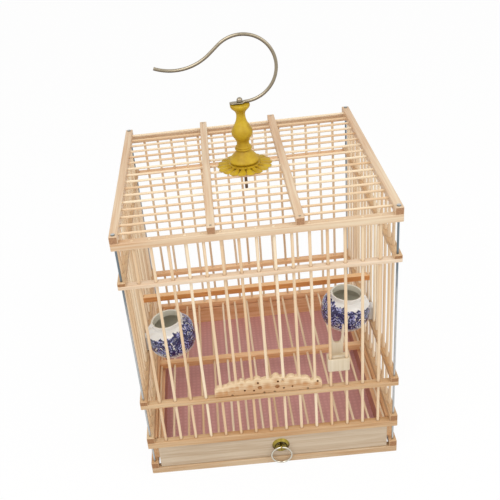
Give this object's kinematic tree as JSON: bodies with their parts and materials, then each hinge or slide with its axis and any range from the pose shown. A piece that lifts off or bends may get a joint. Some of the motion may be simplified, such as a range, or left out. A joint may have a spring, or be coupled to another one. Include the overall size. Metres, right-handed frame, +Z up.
{
  "type": "bird cage",
  "caption": "Square knock-down bamboo bird cage with a lift-up barred door, slide-out tray, porcelain cups, perch, fruit fork and swivel hanging hook.",
  "frame": {"origin": "middle of the square footprint, on the surface that the cage stands on", "axes": "+X to the right of someone facing the door, +Y to the back, +Z up; the door faces -Y"},
  "size_m": [0.2576, 0.2548, 0.4061],
  "materials": {
    "planed_bamboo": "planed, satin varnish",
    "bamboo_rod": "split and drawn, satin varnish",
    "drawer_board": "planed, open grain",
    "tray_floor": "thin stained board",
    "perch_wood": "planed, oiled",
    "pin_steel": "drawn wire",
    "nail_steel": "dull",
    "stamped_brass": "polished",
    "nickelled_wire": "polished",
    "carved_bamboo": "carved, satin varnish",
    "porcelain": "clear glaze over a blue painted scroll",
    "yellow_lacquer": "turned, yellow satin lacquer",
    "hook_steel": "drawn wire, satin"
  },
  "bodies": {
    "cage": {"front_base_rail": "planed_bamboo", "front_bottom_rail": "planed_bamboo", "front_lower_rail": "planed_bamboo", "front_upper_rail": "planed_bamboo", "front_top_rail": "planed_bamboo", "back_base_rail": "planed_bamboo", "back_bottom_rail": "planed_bamboo", "back_lower_rail": "planed_bamboo", "back_upper_rail": "planed_bamboo", "back_top_rail": "planed_bamboo", "left_base_rail": "planed_bamboo", "left_bottom_rail": "planed_bamboo", "left_lower_rail": "planed_bamboo", "left_upper_rail": "planed_bamboo", "right_base_rail": "planed_bamboo", "right_bottom_rail": "planed_bamboo", "right_lower_rail": "planed_bamboo", "right_upper_rail": "planed_bamboo", "left_top_beam": "planed_bamboo", "right_top_beam": "planed_bamboo", "roof_mid_beam_left": "planed_bamboo", "roof_mid_beam_right": "planed_bamboo", "floor_grate_bar": "planed_bamboo", "front_left_bars": "bamboo_rod", "front_right_bars": "bamboo_rod", "front_short_bars": "bamboo_rod", "back_bars": "bamboo_rod", "left_bars": "bamboo_rod", "right_bars": "bamboo_rod", "roof_rods": "bamboo_rod", "floor_grate_rods": "bamboo_rod", "left_skirt": "drawer_board", "right_skirt": "drawer_board", "perch": "perch_wood", "roof_brads": "nail_steel", "knob_flower": "yellow_lacquer", "knob_finial": "yellow_lacquer", "knob_stud": "nail_steel", "knob_hex_nut": "nail_steel", "knob_cap_nut": "hook_steel", "knob_clamp_plate": "planed_bamboo"},
    "drawer": {"drawer_front": "drawer_board", "drawer_back": "drawer_board", "drawer_left_side": "drawer_board", "drawer_right_side": "drawer_board", "drawer_floor": "tray_floor", "pull_rosette": "stamped_brass", "pull_staple": "stamped_brass"},
    "pull_ring": {"pull_ring": "nickelled_wire"},
    "door": {"door_carving": "carved_bamboo", "door_bars": "bamboo_rod"},
    "hook": {"hook": "hook_steel"},
    "left_cup": {"left_cup": "porcelain"},
    "right_cup": {"right_cup": "porcelain"},
    "fruit_fork": {"fruit_fork": "carved_bamboo"},
    "corner_pin_front_left": {"corner_pin_front_left": "pin_steel"},
    "corner_pin_front_right": {"corner_pin_front_right": "pin_steel"},
    "corner_pin_back_left": {"corner_pin_back_left": "pin_steel"},
    "corner_pin_back_right": {"corner_pin_back_right": "pin_steel"}
  },
  "joints": [
    {"name": "drawer_slide", "type": "slide", "parent": "cage", "child": "drawer", "axis": [0, -1, 0], "range_m": [0, 0.2]},
    {"name": "ring_swing", "type": "hinge", "parent": "drawer", "child": "pull_ring", "pos_m": [0.0082, -0.1272, 0.022], "axis": [-1, 0, 0], "range_deg": [0, 110]},
    {"name": "door_slide", "type": "slide", "parent": "cage", "child": "door", "axis": [0, 0, 1], "range_m": [0, 0.11]},
    {"name": "hook_swivel", "type": "hinge", "parent": "cage", "child": "hook", "pos_m": [0, 0, 0.341], "axis": [0, 0, 1], "continuous": true},
    {"name": "left_cup_lift", "type": "slide", "parent": "cage", "child": "left_cup", "axis": [0, 0, 1], "range_m": [0, 0.0044]},
    {"name": "right_cup_lift", "type": "slide", "parent": "cage", "child": "right_cup", "axis": [0, 0, 1], "range_m": [0, 0.0044]},
    {"name": "fork_slide", "type": "slide", "parent": "cage", "child": "fruit_fork", "axis": [0, 0, 1], "range_m": [-0.014, 0.075]},
    {"name": "corner_pin_front_left_pull", "type": "slide", "parent": "cage", "child": "corner_pin_front_left", "axis": [0, 0, 1], "range_m": [0, 0.285]},
    {"name": "corner_pin_front_right_pull", "type": "slide", "parent": "cage", "child": "corner_pin_front_right", "axis": [0, 0, 1], "range_m": [0, 0.285]},
    {"name": "corner_pin_back_left_pull", "type": "slide", "parent": "cage", "child": "corner_pin_back_left", "axis": [0, 0, 1], "range_m": [0, 0.285]},
    {"name": "corner_pin_back_right_pull", "type": "slide", "parent": "cage", "child": "corner_pin_back_right", "axis": [0, 0, 1], "range_m": [0, 0.285]}
  ]
}
